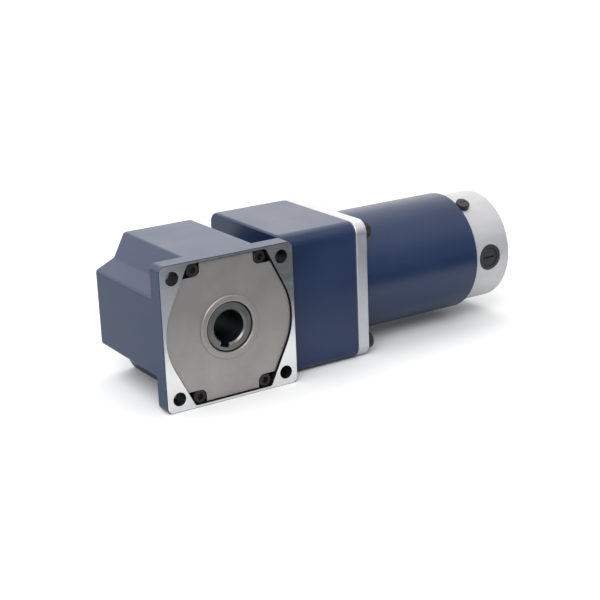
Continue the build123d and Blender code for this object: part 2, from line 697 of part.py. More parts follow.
# ======================= intermediate shaft group =======================
FIRST_GEAR_AT = (84.0, 92.0)
LAY_PINION_AT = (65.0, 77.0)
LAY_ENDS = (53.2, 100.8)
LAY_JOURNAL = LAY_BEARING[0] / 2
FIRST_GEAR_SEAT = 4.0
LAY_COLLAR = 5.0
LAY_SPACER = 3.9
LIGHTENING = (9.5, 2.6, 6)      # holes through the gear: pitch radius, radius, count

with BuildPart() as intermediate_shaft:
    add(turned(across_lay, [
        (LAY_ENDS[0], LAY_BEARING_AT[0] + LAY_BEARING[2], LAY_JOURNAL),
        (LAY_BEARING_AT[0] + LAY_BEARING[2], LAY_PINION_AT[0], FIRST_GEAR_SEAT),
        (LAY_PINION_AT[1], FIRST_GEAR_AT[0], LAY_COLLAR),
        (*FIRST_GEAR_AT, FIRST_GEAR_SEAT),
        (FIRST_GEAR_AT[1], LAY_ENDS[1], LAY_JOURNAL),
    ]))
    lay_turn = pi / 2 + pi / SPUR_TEETH[0]
    add(spur_teeth(across_lay, *LAY_PINION_AT, SPUR_TEETH[0], SPUR_SHIFT, lay_turn))
save(intermediate_shaft.part, "intermediate_shaft")

with BuildPart() as intermediate_gear:
    gear_turn = pi / 2 + pi / SPUR_TEETH[1]
    add(spur_teeth(across_lay, *FIRST_GEAR_AT, SPUR_TEETH[1], -SPUR_SHIFT, gear_turn))
    with BuildSketch(across_lay(FIRST_GEAR_AT[0])):
        Circle(FIRST_GEAR_SEAT)
        with PolarLocations(LIGHTENING[0], LIGHTENING[2]):
            Circle(LIGHTENING[1])
    extrude(amount=FIRST_GEAR_AT[1] - FIRST_GEAR_AT[0], mode=Mode.SUBTRACT)
save(intermediate_gear.part, "intermediate_gear")

with BuildPart() as intermediate_spacer:
    add(sleeve(across_lay, FIRST_GEAR_AT[1], LAY_BEARING_AT[1], LAY_JOURNAL, LAY_SPACER))
save(intermediate_spacer.part, "intermediate_spacer")


# ======================= bearings =======================
for name, plane_at, starts, size in (
    ("output", across_output, OUTPUT_BEARING_AT, OUTPUT_BEARING),
    ("pinion", across_motor, PINION_BEARING_AT, PINION_BEARING),
    ("intermediate", across_lay, LAY_BEARING_AT, LAY_BEARING),
    ("rotor", across_motor, ROTOR_BEARING_AT, ROTOR_BEARING),
):
    with BuildPart() as outer_rings:
        add(bearing_rings(plane_at, starts, size, True))
    save(outer_rings.part, f"{name}_bearing_outer_rings")
    with BuildPart() as inner_rings:
        add(bearing_rings(plane_at, starts, size, False))
    save(inner_rings.part, f"{name}_bearing_inner_rings")
    with BuildPart() as balls:
        add(bearing_balls(plane_at, starts, size))
    save(balls.part, f"{name}_bearing_balls")
    with BuildPart() as cages:
        add(bearing_cages(plane_at, starts, size))
    save(cages.part, f"{name}_bearing_cages")


# ======================= motor flange, tube and end cap =======================
SPIGOT_START = 95.6             # spigot into the reduction box
TUBE_SPIGOT = (109.5, 33.0)     # spigot into the tube: end, inside radius
INSIDE = 33.0                   # inside radius of the end cap
SHAFT_HOLE = 5.0
SHAFT_SEAL = (95.7, 98.8, 8.0)  # motor shaft seal: start, end, radius
SEAL_SEAT_END = 98.9
MOTOR_SCREW_HOLE = 3.3
BOLT_SHANK = 1.95
BOLT_THREAD = 5.0               # depth of the tie bolt threads in the motor flange
TUBE_RIM = 0.8
MAGNETS_AT = (118.0, 186.0)
MAGNET_GAP = 30.0               # between the two magnet segments
CAP_EDGE = 3.0
CAP_BEARING_END = 229.6
CAP_GROOVE = (14.5, 26.0, 1.6)  # ring cut in the end wall: radii, depth
CAP_GROOVE_EDGE = 0.6
BOLT_HEAD_SEAT = 227.0
BOLT_HOLE = 2.1
BOLT_COUNTERBORE = 3.8
BRUSH_BORE = 8.0                # radius of the brush holder openings
BRUSH_COLLAR = 9.0
COLLAR_SEAT = 35.2              # seat of the collars, from the motor axis
LEAD_HOLE = 3.6
GROMMET = 4.8
GROMMET_SEAT = 36.6
WALL_INSIDE = 30.0              # cuts through the cap's side start here, from the motor axis

with BuildPart() as motor_flange:
    with BuildSketch(across_motor(PLATE_START)):
        RectangleRounded(SIZE, SIZE, BOX_CORNER)
    extrude(amount=PLATE_END - PLATE_START)
    chamfer(motor_flange.edges().filter_by(Axis.X, reverse=True), EDGE)
    add(turned(across_motor, [
        (SPIGOT_START, PLATE_START, BOX_CAVITY - FIT), (PLATE_END, TUBE_SPIGOT[0], TUBE_BORE - FIT),
    ]))
    for plane_at, start, end, radius in (
        (across_motor, PLATE_END, *TUBE_SPIGOT),
        (across_motor, SPIGOT_START, PLATE_END, SHAFT_HOLE),
        (across_motor, SPIGOT_START, SEAL_SEAT_END, SHAFT_SEAL[2]),
        (across_motor, ROTOR_BEARING_AT[0], PLATE_END, ROTOR_BEARING[1] / 2),
        (across_lay, SPIGOT_START, LAY_BEARING_AT[1] + LAY_BEARING[2], LAY_BEARING[1] / 2),
    ):
        with BuildSketch(plane_at(start)):
            Circle(radius)
        extrude(amount=end - start, mode=Mode.SUBTRACT)
    with BuildSketch(across_motor(PLATE_START)):
        with Locations(*corner_points(HOLE_PITCH, HOLE_PITCH)):
            Circle(MOTOR_SCREW_HOLE)
    extrude(amount=PLATE_END - PLATE_START, mode=Mode.SUBTRACT)
    with BuildSketch(across_motor(PLATE_END)):
        with Locations(*[(0, end * BOLT_RADIUS) for end in ENDS]):
            Circle(BOLT_SHANK + FIT)
    extrude(amount=-BOLT_THREAD, mode=Mode.SUBTRACT)
save(motor_flange.part, "motor_flange")

with BuildPart() as motor_flange_gasket:
    with BuildSketch(across_motor(BOX_END)):
        RectangleRounded(SIZE - 2 * EDGE, SIZE - 2 * EDGE, BOX_CORNER - EDGE)
        Circle(BOX_CAVITY, mode=Mode.SUBTRACT)
        with Locations(*corner_points(HOLE_PITCH, HOLE_PITCH)):
            Circle(MOTOR_SCREW_HOLE, mode=Mode.SUBTRACT)
    extrude(amount=PLATE_START - BOX_END)
save(motor_flange_gasket.part, "motor_flange_gasket")

with BuildPart() as motor_screws:
    add(socket_screws(
        [Plane(origin=(PLATE_END, MOTOR_Y + i * HOLE_PITCH / 2, j * HOLE_PITCH / 2),
               x_dir=(0, 1, 0), z_dir=(-1, 0, 0)) for i, j in CORNERS],
        head=5.0, head_length=6.0, shank=MOTOR_THREAD[0], shank_length=28.0, key_width=5.0,
    ))
save(motor_screws.part, "motor_screws")

with BuildPart() as motor_shaft_seal:
    add(lip_seal(across_motor, SHAFT_SEAL[1], SHAFT_SEAL[0], ROTOR_JOURNAL + LIP_PLAY, SHAFT_SEAL[2]))
save(motor_shaft_seal.part, "motor_shaft_seal")

with BuildPart() as motor_tube:
    add(sleeve(across_motor, PLATE_END, TUBE_END, TUBE_BORE, TUBE))
    rims = motor_tube.edges().filter_by(GeomType.CIRCLE)
    fillet(rims.filter_by(lambda rim: rim.radius > TUBE - NEAR), TUBE_RIM)
save(motor_tube.part, "motor_tube")

with BuildPart() as magnets:
    with BuildSketch(across_motor(MAGNETS_AT[0])):
        Circle(TUBE_BORE)
        Circle(MAGNET, mode=Mode.SUBTRACT)
        Rectangle(MAGNET_GAP, 2 * TUBE, mode=Mode.SUBTRACT)
    extrude(amount=MAGNETS_AT[1] - MAGNETS_AT[0])
save(magnets.part, "magnets")

with BuildPart() as end_cap:
    add(turned(across_motor, [
        (TUBE_END - CAP_SPIGOT, TUBE_END, TUBE_BORE - FIT), (TUBE_END, CAP_END, CAP),
    ]))
    fillet(end_cap.faces().sort_by(Axis.X)[-1].edges(), CAP_EDGE)
    for start, end, radius in (
        (TUBE_END - CAP_SPIGOT, CAP_WALL, INSIDE),
        (CAP_WALL, CAP_BEARING_END, ROTOR_BEARING[1] / 2),
    ):
        with BuildSketch(across_motor(start)):
            Circle(radius)
        extrude(amount=end - start, mode=Mode.SUBTRACT)
    # shallow ring that leaves a bearing boss on the end wall
    with BuildSketch(across_motor(CAP_END)):
        Circle(CAP_GROOVE[1])
        Circle(CAP_GROOVE[0], mode=Mode.SUBTRACT)
    extrude(amount=-CAP_GROOVE[2], mode=Mode.SUBTRACT)
    rims = end_cap.edges().filter_by(GeomType.CIRCLE).filter_by(lambda rim: rim.center().X > CAP_END - NEAR)
    fillet(rims.filter_by(lambda rim: rim.radius < CAP_GROOVE[1] + NEAR), CAP_GROOVE_EDGE)
    # tie bolt holes with counterbores
    for start, radius in ((CAP_WALL, BOLT_HOLE), (BOLT_HEAD_SEAT, BOLT_COUNTERBORE)):
        with BuildSketch(across_motor(start)):
            with Locations(*[(0, side * BOLT_RADIUS) for side in ENDS]):
                Circle(radius)
        extrude(amount=CAP_END - start, mode=Mode.SUBTRACT)
    # brush holder openings and the lead outlet
    for angle in (0, 180):
        with BuildSketch(radial(BRUSH_X, angle, WALL_INSIDE)):
            Circle(BRUSH_BORE)
        extrude(amount=TUBE - WALL_INSIDE, mode=Mode.SUBTRACT)
        with BuildSketch(radial(BRUSH_X, angle, COLLAR_SEAT)):
            Circle(BRUSH_COLLAR)
        extrude(amount=TUBE - COLLAR_SEAT, mode=Mode.SUBTRACT)
    with BuildSketch(radial(LEAD_X, LEAD_ANGLE, WALL_INSIDE)):
        Circle(LEAD_HOLE)
    extrude(amount=TUBE - WALL_INSIDE, mode=Mode.SUBTRACT)
    with BuildSketch(radial(LEAD_X, LEAD_ANGLE, GROMMET_SEAT)):
        Circle(GROMMET)
    extrude(amount=TUBE - GROMMET_SEAT, mode=Mode.SUBTRACT)
save(end_cap.part, "end_cap")

with BuildPart() as tie_bolts:
    add(socket_screws(
        [Plane(origin=(BOLT_HEAD_SEAT, MOTOR_Y, side * BOLT_RADIUS), x_dir=(0, 1, 0),
               z_dir=(-1, 0, 0)) for side in ENDS],
        head=3.5, head_length=4.0, shank=BOLT_SHANK, shank_length=125.0, key_width=3.0,
    ))
save(tie_bolts.part, "tie_bolts")


# ======================= brush gear =======================
BRUSH_WIDTH = 6.0
BRUSH_HEIGHT = 9.0
BRUSH_AT = (9.0, 23.0)          # carbon brush, from the motor axis
BRUSH_PLAY = 0.2
HOLDER_AT = (14.0, 36.6)        # brush holder, from the motor axis
BRUSH_CAP_AT = (32.4, 36.2)
BRUSH_CAP = 6.5
CAP_SEAT = 31.0
DRIVER_SLOT = (8.4, 1.2, 1.2)   # length, width, depth
COIL = (1.5, 2.3, 0.3)          # pitch, coil radius, wire radius
COIL_SEAT = 23.4
COIL_LENGTH = 8.4
CORE = 1.3                      # half the distance between the two leads

with BuildPart() as brush_holders:
    for angle in (0, 180):
        with BuildSketch(radial(BRUSH_X, angle, HOLDER_AT[0])):
            Circle(BRUSH_BORE - FIT)
        extrude(amount=HOLDER_AT[1] - HOLDER_AT[0])
        with BuildSketch(radial(BRUSH_X, angle, COLLAR_SEAT)):
            Circle(BRUSH_COLLAR - FIT)
        extrude(amount=HOLDER_AT[1] - COLLAR_SEAT)
    rims = brush_holders.edges().filter_by(GeomType.CIRCLE)
    rims = rims.filter_by(lambda rim: abs(rim.center().Y - MOTOR_Y) > HOLDER_AT[1] - NEAR)
    fillet(rims, EDGE)
    for angle in (0, 180):
        with BuildSketch(radial(BRUSH_X, angle, HOLDER_AT[0])):
            Rectangle(BRUSH_WIDTH + BRUSH_PLAY, BRUSH_HEIGHT + BRUSH_PLAY)
        extrude(amount=CAP_SEAT - HOLDER_AT[0], mode=Mode.SUBTRACT)
        with BuildSketch(radial(BRUSH_X, angle, CAP_SEAT)):
            Circle(BRUSH_CAP)
        extrude(amount=HOLDER_AT[1] - CAP_SEAT, mode=Mode.SUBTRACT)
save(brush_holders.part, "brush_holders")

with BuildPart() as brushes:
    for angle in (0, 180):
        with BuildSketch(radial(BRUSH_X, angle, BRUSH_AT[0])):
            Rectangle(BRUSH_WIDTH, BRUSH_HEIGHT)
        extrude(amount=BRUSH_AT[1] - BRUSH_AT[0])
    with BuildSketch(across_motor(BRUSH_X - BRUSH_WIDTH)):
        Circle(COMMUTATOR + FIT)
    extrude(amount=2 * BRUSH_WIDTH, mode=Mode.SUBTRACT)
save(brushes.part, "brushes")

with BuildPart() as brush_springs:
    for angle in (0, 180):
        seat = radial(BRUSH_X, angle, COIL_SEAT)
        with BuildLine() as coil:
            Helix(pitch=COIL[0], height=COIL_LENGTH, radius=COIL[1], center=seat.origin,
                  direction=seat.z_dir)
        with BuildSketch(Plane(origin=coil.line @ 0, z_dir=coil.line % 0)):
            Circle(COIL[2])
        sweep(path=coil.line)
save(brush_springs.part, "brush_springs")

with BuildPart() as brush_caps:
    for angle in (0, 180):
        with BuildSketch(radial(BRUSH_X, angle, BRUSH_CAP_AT[0])):
            Circle(BRUSH_CAP - FIT)
        extrude(amount=BRUSH_CAP_AT[1] - BRUSH_CAP_AT[0])
    rims = brush_caps.edges().filter_by(GeomType.CIRCLE)
    rims = rims.filter_by(lambda rim: abs(rim.center().Y - MOTOR_Y) > BRUSH_CAP_AT[1] - NEAR)
    fillet(rims, EDGE)
    for angle in (0, 180):
        with BuildSketch(radial(BRUSH_X, angle, BRUSH_CAP_AT[1])):
            Rectangle(*DRIVER_SLOT[:2])
        extrude(amount=-DRIVER_SLOT[2], mode=Mode.SUBTRACT)
save(brush_caps.part, "brush_caps")

GROMMET_AT = (32.0, 40.6)       # from the motor axis
GROMMET_EDGE = 0.8
LEAD = 0.9                      # radius of a lead
LEAD_OUT = 40.0                 # end of the leads, just inside the grommet's face
LEAD_SWEEP = (43.0, -95.0)      # degrees that each lead runs round the commutator
LEAD_BEND = 2.0

with BuildPart() as cable_grommet:
    with BuildSketch(radial(LEAD_X, LEAD_ANGLE, GROMMET_AT[0])):
        Circle(LEAD_HOLE - FIT)
    extrude(amount=GROMMET_SEAT - GROMMET_AT[0])
    with BuildSketch(radial(LEAD_X, LEAD_ANGLE, GROMMET_SEAT)):
        Circle(GROMMET - FIT)
    extrude(amount=GROMMET_AT[1] - GROMMET_SEAT)
    fillet(cable_grommet.faces().sort_by(Axis.Z)[-1].edges(), GROMMET_EDGE)
    with BuildSketch(radial(LEAD_X, LEAD_ANGLE, GROMMET_AT[0])):
        with Locations((-CORE, 0), (CORE, 0)):
            Circle(LEAD + FIT)
    extrude(amount=GROMMET_AT[1] - GROMMET_AT[0], mode=Mode.SUBTRACT)
save(cable_grommet.part, "cable_grommet")

with BuildPart() as motor_leads:
    for shift, sweep_angle in zip((-CORE, CORE), LEAD_SWEEP):
        with BuildLine(across_motor(LEAD_X + shift)) as run:
            outward = (cos(radians(LEAD_ANGLE)), sin(radians(LEAD_ANGLE)))
            bend = (LEAD_RADIUS * outward[0], LEAD_RADIUS * outward[1])
            Line((LEAD_OUT * outward[0], LEAD_OUT * outward[1]), bend)
            CenterArc((0, 0), LEAD_RADIUS, LEAD_ANGLE, sweep_angle)
            elbow = across_motor(LEAD_X + shift).from_local_coords((*bend, 0))
            fillet(run.vertices().sort_by_distance(elbow)[0], LEAD_BEND)
        with BuildSketch(radial(LEAD_X + shift, LEAD_ANGLE, LEAD_OUT)):
            Circle(LEAD)
        sweep(path=run.wire())
save(motor_leads.part, "motor_leads")


# ======================= rotor =======================
ROTOR_ENDS = (83.0, 228.8)
ROTOR_BODY = 5.5
PINION_STUB = (95.0, 3.2)       # stub under the motor pinion: end, radius
MOTOR_PINION_AT = (83.5, 94.5)
SLOT_RADIUS = 3.6
SLOT_MOUTH = 2.2
SLOT_LINER = 0.2                # insulation between a slot and its wire
WINDING_BORE = 7.0
END_TURNS = 9.5                 # length of the end turns beyond the core
END_TURN_RADIUS = 25.3
END_TURN_EDGE = 3.5
COMMUTATOR_AT = (196.0, 220.0)
RISER = (199.5, 13.0)           # end and radius of the riser
RISER_SLOT = (6.0, 0.5)         # slot for the wires between segments: length, width

with BuildPart() as rotor_shaft:
    add(turned(across_motor, [
        (ROTOR_ENDS[0], *PINION_STUB), (PINION_STUB[0], PLATE_END, ROTOR_JOURNAL),
        (PLATE_END, CAP_WALL, ROTOR_BODY), (CAP_WALL, ROTOR_ENDS[1], ROTOR_JOURNAL),
    ]))
save(rotor_shaft.part, "rotor_shaft")

with BuildPart() as motor_pinion:
    add(spur_teeth(across_motor, *MOTOR_PINION_AT, SPUR_TEETH[0], SPUR_SHIFT, -pi / 2))
    with BuildSketch(across_motor(MOTOR_PINION_AT[0])):
        Circle(PINION_STUB[1])
    extrude(amount=MOTOR_PINION_AT[1] - MOTOR_PINION_AT[0], mode=Mode.SUBTRACT)
save(motor_pinion.part, "motor_pinion")

with BuildPart() as armature_core:
    with BuildSketch(across_motor(ARMATURE_AT[0])):
        Circle(ARMATURE)
        Circle(ROTOR_BODY, mode=Mode.SUBTRACT)
        with PolarLocations(SLOT_CENTRE, SLOTS):
            Circle(SLOT_RADIUS, mode=Mode.SUBTRACT)
        with PolarLocations(ARMATURE, SLOTS):
            Rectangle(2 * (ARMATURE - SLOT_CENTRE), SLOT_MOUTH, mode=Mode.SUBTRACT)
    extrude(amount=ARMATURE_AT[1] - ARMATURE_AT[0])
save(armature_core.part, "armature_core")

with BuildPart() as armature_windings:
    for start in (ARMATURE_AT[0] - END_TURNS, ARMATURE_AT[1]):
        with BuildSketch(across_motor(start)):
            Circle(END_TURN_RADIUS)
        extrude(amount=END_TURNS)
    rims = armature_windings.edges().filter_by(GeomType.CIRCLE)
    fillet([rims.sort_by(Axis.X)[0], rims.sort_by(Axis.X)[-1]], END_TURN_EDGE)
    with BuildSketch(across_motor(ARMATURE_AT[0] - END_TURNS)):
        Circle(WINDING_BORE)
    extrude(amount=ARMATURE_AT[1] - ARMATURE_AT[0] + 2 * END_TURNS, mode=Mode.SUBTRACT)
    with BuildSketch(across_motor(ARMATURE_AT[0])):
        with PolarLocations(SLOT_CENTRE, SLOTS):
            Circle(SLOT_RADIUS - SLOT_LINER)
    extrude(amount=ARMATURE_AT[1] - ARMATURE_AT[0])
save(armature_windings.part, "armature_windings")

with BuildPart() as commutator:
    add(turned(across_motor, [
        (COMMUTATOR_AT[0], *RISER), (RISER[0], COMMUTATOR_AT[1], COMMUTATOR),
    ]))
    with BuildSketch(across_motor(COMMUTATOR_AT[0])):
        Circle(ROTOR_BODY)
        with PolarLocations(RISER[1], 2 * SLOTS):
            Rectangle(*RISER_SLOT)
    extrude(amount=COMMUTATOR_AT[1] - COMMUTATOR_AT[0], mode=Mode.SUBTRACT)
save(commutator.part, "commutator")
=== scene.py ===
"""Looks of the right-angle hollow-shaft gearmotor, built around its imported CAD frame.

Metres, same frame as the CAD: origin at the centre of the output bore on the mounting face,
+X along the motor, +Y into the gear case, +Z up.
"""
import json
import math

import bmesh
import bpy
from mathutils import Matrix, Vector


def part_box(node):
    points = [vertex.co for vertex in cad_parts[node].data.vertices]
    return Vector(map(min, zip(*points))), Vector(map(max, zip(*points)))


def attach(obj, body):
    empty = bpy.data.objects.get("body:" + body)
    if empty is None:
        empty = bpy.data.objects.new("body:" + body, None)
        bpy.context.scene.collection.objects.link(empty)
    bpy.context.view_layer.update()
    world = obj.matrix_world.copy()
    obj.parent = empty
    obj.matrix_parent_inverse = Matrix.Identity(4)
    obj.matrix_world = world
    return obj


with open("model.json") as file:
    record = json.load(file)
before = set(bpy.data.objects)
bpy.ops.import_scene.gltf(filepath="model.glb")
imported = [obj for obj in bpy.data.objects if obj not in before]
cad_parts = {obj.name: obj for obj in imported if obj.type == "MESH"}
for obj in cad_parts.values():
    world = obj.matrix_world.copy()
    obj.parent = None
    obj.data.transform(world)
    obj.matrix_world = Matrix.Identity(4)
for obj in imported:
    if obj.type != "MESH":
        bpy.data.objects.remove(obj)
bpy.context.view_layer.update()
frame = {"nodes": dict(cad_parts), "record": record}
NODES = frame["nodes"]
SLOT_OF = {part["node"]: part["material_slot"] for part in frame["record"]["subparts"]}

# ---- places worked out from the frame ----
tube_low, tube_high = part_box("motor_tube")
MOTOR_Y = (tube_low.y + tube_high.y) / 2
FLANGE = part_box("gear_housing")
FLOOR_Z = FLANGE[0].z
SHAFT_FROM, SHAFT_TO = (corner.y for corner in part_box("output_shaft"))
SEAL_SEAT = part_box("output_seal_rear")[1].x
CAP_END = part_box("end_cap")[1].x

# ---- sizes of the casting and the cover ----
FLANGE_DEPTH = 0.012
COVER_FACE = 0.0014         # turned front of the output cover
REAR_FACE = 0.0898          # raised ring round the rear seal
REAR_BOSS = 0.025           # its radius
SEAT_DEPTH = 0.03
BORE_WALL = 0.0135          # between the keyway's floor and the journal
MOUTH = 0.0009              # length of the bore's chamfers
SKIN = 0.0012               # anything this close to the mounting face belongs to it

# ---- tool marks ----
TURNED = 0.0005             # pitch of turned rings
COARSE_TURNED = 0.0006
MILLED = 0.00069813         # pitch of the cutter marks

# ---- the view ----
VIEW_TARGET = Vector((0.0380, -0.0174, 0.0135))
VIEW_AZIMUTH = math.radians(-32.0)
VIEW_ELEVATION = math.radians(17.4)
VIEW_ROLL = math.radians(2.27)
VIEW_DISTANCE = 0.816
LENS = 82.7


# =============================== material helpers ===============================
class NodeTree:
    """Short calls for the nodes of a material or a world."""

    def __init__(self, tree):
        self.tree = tree

    def node(self, kind, **settings):
        made = self.tree.nodes.new(kind)
        for key, value in settings.items():
            setattr(made, key, value)
        return made

    def link(self, source, target):
        self.tree.links.new(source, target)

    def put(self, socket, value):
        if isinstance(value, bpy.types.NodeSocket):
            self.link(value, socket)
        else:
            socket.default_value = value

    def math(self, operation, a, b=0.0):
        made = self.node("ShaderNodeMath", operation=operation)
        self.put(made.inputs[0], a)
        self.put(made.inputs[1], b)
        return made.outputs[0]

    def hypot(self, a, b):
        return self.math("SQRT", self.math("ADD", self.math("MULTIPLY", a, a), self.math("MULTIPLY", b, b)))

    def wave(self, value, pitch):
        """-1 to 1 and back once in every pitch: tool marks."""
        return self.math("SINE", self.math("MULTIPLY", value, 2 * math.pi / pitch))

    def split(self, vector):
        made = self.node("ShaderNodeSeparateXYZ")
        self.link(vector, made.inputs[0])
        return made.outputs

    def spread(self, value, low, high, new_low, new_high):
        made = self.node("ShaderNodeMapRange", clamp=True)
        self.put(made.inputs["Value"], value)
        for key, number in (("From Min", low), ("From Max", high), ("To Min", new_low), ("To Max", new_high)):
            self.put(made.inputs[key], number)
        return made.outputs[0]

    def mix(self, factor, first, second):
        made = self.node("ShaderNodeMix", data_type="RGBA")
        self.put(made.inputs["Factor"], factor)
        self.put(made.inputs[6], first)
        self.put(made.inputs[7], second)
        return made.outputs[2]


class Shader(NodeTree):
    """A node material with a Principled surface."""

    def __init__(self, name):
        self.material = bpy.data.materials.new(name)
        self.material.use_nodes = True
        super().__init__(self.material.node_tree)
        self.surface = self.tree.nodes["Principled BSDF"]
        self.place = self.node("ShaderNodeTexCoord").outputs["Object"]

    def stretch(self, scale):
        made = self.node("ShaderNodeMapping")
        made.inputs["Scale"].default_value = scale
        self.link(self.place, made.inputs["Vector"])
        return made.outputs[0]

    def noise(self, scale, detail=3.0, rough=0.5, vector=None):
        made = self.node("ShaderNodeTexNoise")
        self.link(vector or self.place, made.inputs["Vector"])
        made.inputs["Scale"].default_value = scale
        made.inputs["Detail"].default_value = detail
        made.inputs["Roughness"].default_value = rough
        return made.outputs["Fac"]

    def cloudy(self, cloud, first, second):
        """Two tones mixed by a cloud of noise."""
        return self.mix(self.spread(cloud, 0.3, 0.7, 0.0, 1.0), first, second)

    def cloudy_value(self, cloud, first, second):
        return self.spread(cloud, 0.3, 0.7, first, second)

    def bump(self, height, distance, strength):
        made = self.node("ShaderNodeBump")
        made.inputs["Strength"].default_value = strength
        made.inputs["Distance"].default_value = distance
        self.put(made.inputs["Height"], height)
        return made.outputs[0]

    def edges(self, radius):
        """0 on flat stretches, up to 1 on outer edges rounder than the radius."""
        bevel = self.node("ShaderNodeBevel", samples=4)
        bevel.inputs["Radius"].default_value = radius
        flat = self.node("ShaderNodeNewGeometry").outputs["Normal"]
        dot = self.node("ShaderNodeVectorMath", operation="DOT_PRODUCT")
        self.link(bevel.outputs[0], dot.inputs[0])
        self.link(flat, dot.inputs[1])
        return self.spread(self.math("SUBTRACT", 1.0, dot.outputs["Value"]), 0.02, 0.20, 0.0, 1.0)

    def crevice_shade(self, reach, most):
        """0 in the open, up to most in corners and gaps within reach: a mask for painted shade where these
        would lie in shadow.
        """
        open_to = self.node("ShaderNodeAmbientOcclusion", samples=6)
        open_to.inputs["Distance"].default_value = reach
        return self.spread(open_to.outputs["AO"], 0.35, 0.85, most, 0.0)

    def set(self, **values):
        names = {"color": "Base Color", "metallic": "Metallic", "roughness": "Roughness", "normal": "Normal",
                 "specular": "Specular IOR Level", "specular_tint": "Specular Tint"}
        for key, value in values.items():
            self.put(self.surface.inputs[names[key]], value)
        return self.material


def rgb(red, green, blue):
    return (red, green, blue, 1.0)


def shade(color, factor, lift=0.0):
    """A colour made darker or lighter, as four numbers."""
    return rgb(*[min(1.0, channel * factor + lift) for channel in color])


# =============================== materials ===============================
NAVY = (0.0045, 0.0195, 0.066)


def enamel(name, grain, grain_depth):
    """Semi-gloss navy enamel over metal: orange peel, faint clouds, rubbed edges, a little dust, painted
    shade in corners and gaps.
    """
    s = Shader(name)
    cloud = s.noise(22.0, 4.0, 0.55)
    peel = s.noise(grain, 2.0, 0.4)
    speck = s.noise(1400.0, 2.0, 0.6)
    paint = s.cloudy(cloud, shade(NAVY, 0.88), shade(NAVY, 1.12, 0.002))
    rubbed = s.math("MULTIPLY", s.edges(0.0007), s.spread(s.noise(260.0, 4.0, 0.7), 0.45, 0.62, 0.0, 0.5))
    paint = s.mix(rubbed, paint, rgb(0.20, 0.22, 0.27))
    dust = s.spread(speck, 0.66, 0.74, 0.0, 0.10)
    paint = s.mix(dust, paint, rgb(0.25, 0.26, 0.28))
    # painted shade: corners and gaps within 4 mm darkened toward near-black
    paint = s.mix(s.crevice_shade(0.004, 0.55), paint, rgb(0.010, 0.011, 0.013))
    rough = s.cloudy_value(cloud, 0.28, 0.35)
    s.set(color=paint, roughness=rough, normal=s.bump(peel, grain_depth, 0.5), specular=0.5, metallic=0.0,
          specular_tint=rgb(0.93, 0.915, 1.0))
    return s, paint, rough


def gear_case_enamel():
    """The painted casting: its mounting face and rear boss are machined bare; its holes and the recess round
    the cover get painted shade, near-black.
    """
    s, paint, rough = enamel("housing_enamel", 420.0, 0.00006)
    place = s.split(s.place)
    facing = s.split(s.node("ShaderNodeNewGeometry").outputs["Normal"])
    reach = s.hypot(place["X"], place["Z"])
    front = s.math("MULTIPLY", s.math("LESS_THAN", place["Y"], SKIN),
                   s.math("LESS_THAN", facing["Y"], -0.85))
    boss = s.math("MULTIPLY", s.math("LESS_THAN", reach, REAR_BOSS + 0.0004),
                  s.math("GREATER_THAN", place["Y"], REAR_FACE - 0.0006))
    seat = s.math("MULTIPLY", s.math("LESS_THAN", reach, SEAL_SEAT + 0.0003),
                  s.math("GREATER_THAN", place["Y"], REAR_FACE - SEAT_DEPTH))
    bare = s.math("MAXIMUM", front, s.math("MAXIMUM", boss, seat))
    # inside the flange, short of its back face and off the mounting face: holes and the gap round the cover,
    # painted near-black as shade
    sideways = s.math("MAXIMUM", s.math("ABSOLUTE", place["X"]), s.math("ABSOLUTE", place["Z"]))
    within = s.math("MULTIPLY", s.math("LESS_THAN", sideways, FLANGE[1].z - SKIN),
                    s.math("LESS_THAN", place["Y"], FLANGE_DEPTH - 0.0001))
    hollow = s.math("MULTIPLY", within, s.math("SUBTRACT", 1.0, front))
    milled = s.noise(45.0, 4.0, 0.6, s.stretch((1.0, 1.0, 3.0)))
    metal = s.cloudy(milled, rgb(0.76, 0.76, 0.77), rgb(0.86, 0.86, 0.87))
    stain = s.spread(s.noise(160.0, 5.0, 0.65), 0.60, 0.78, 0.0, 0.35)
    metal = s.mix(stain, metal, rgb(0.42, 0.42, 0.43))
    feed = s.math("ADD", place["X"], s.math("MULTIPLY", place["Z"], 0.25))
    height = s.math("ADD", s.math("MULTIPLY", s.wave(feed, MILLED), 0.35), s.noise(900.0))
    either = s.node("ShaderNodeMix", data_type="VECTOR")
    s.put(either.inputs["Factor"], bare)
    s.link(s.surface.inputs["Normal"].links[0].from_socket, either.inputs[4])
    s.link(s.bump(height, 0.000014, 0.35), either.inputs[5])
    # hollow takes the painted shade colour, with little shine
    color = s.mix(hollow, s.mix(bare, paint, metal), rgb(0.012, 0.013, 0.015))
    rough = s.spread(bare, 0.0, 1.0, rough, s.cloudy_value(milled, 0.14, 0.24))
    rough = s.spread(hollow, 0.0, 1.0, rough, 0.55)
    return s.set(color=color, roughness=rough, normal=either.outputs[1], metallic=bare,
                 specular=s.spread(hollow, 0.0, 1.0, 0.5, 0.06))


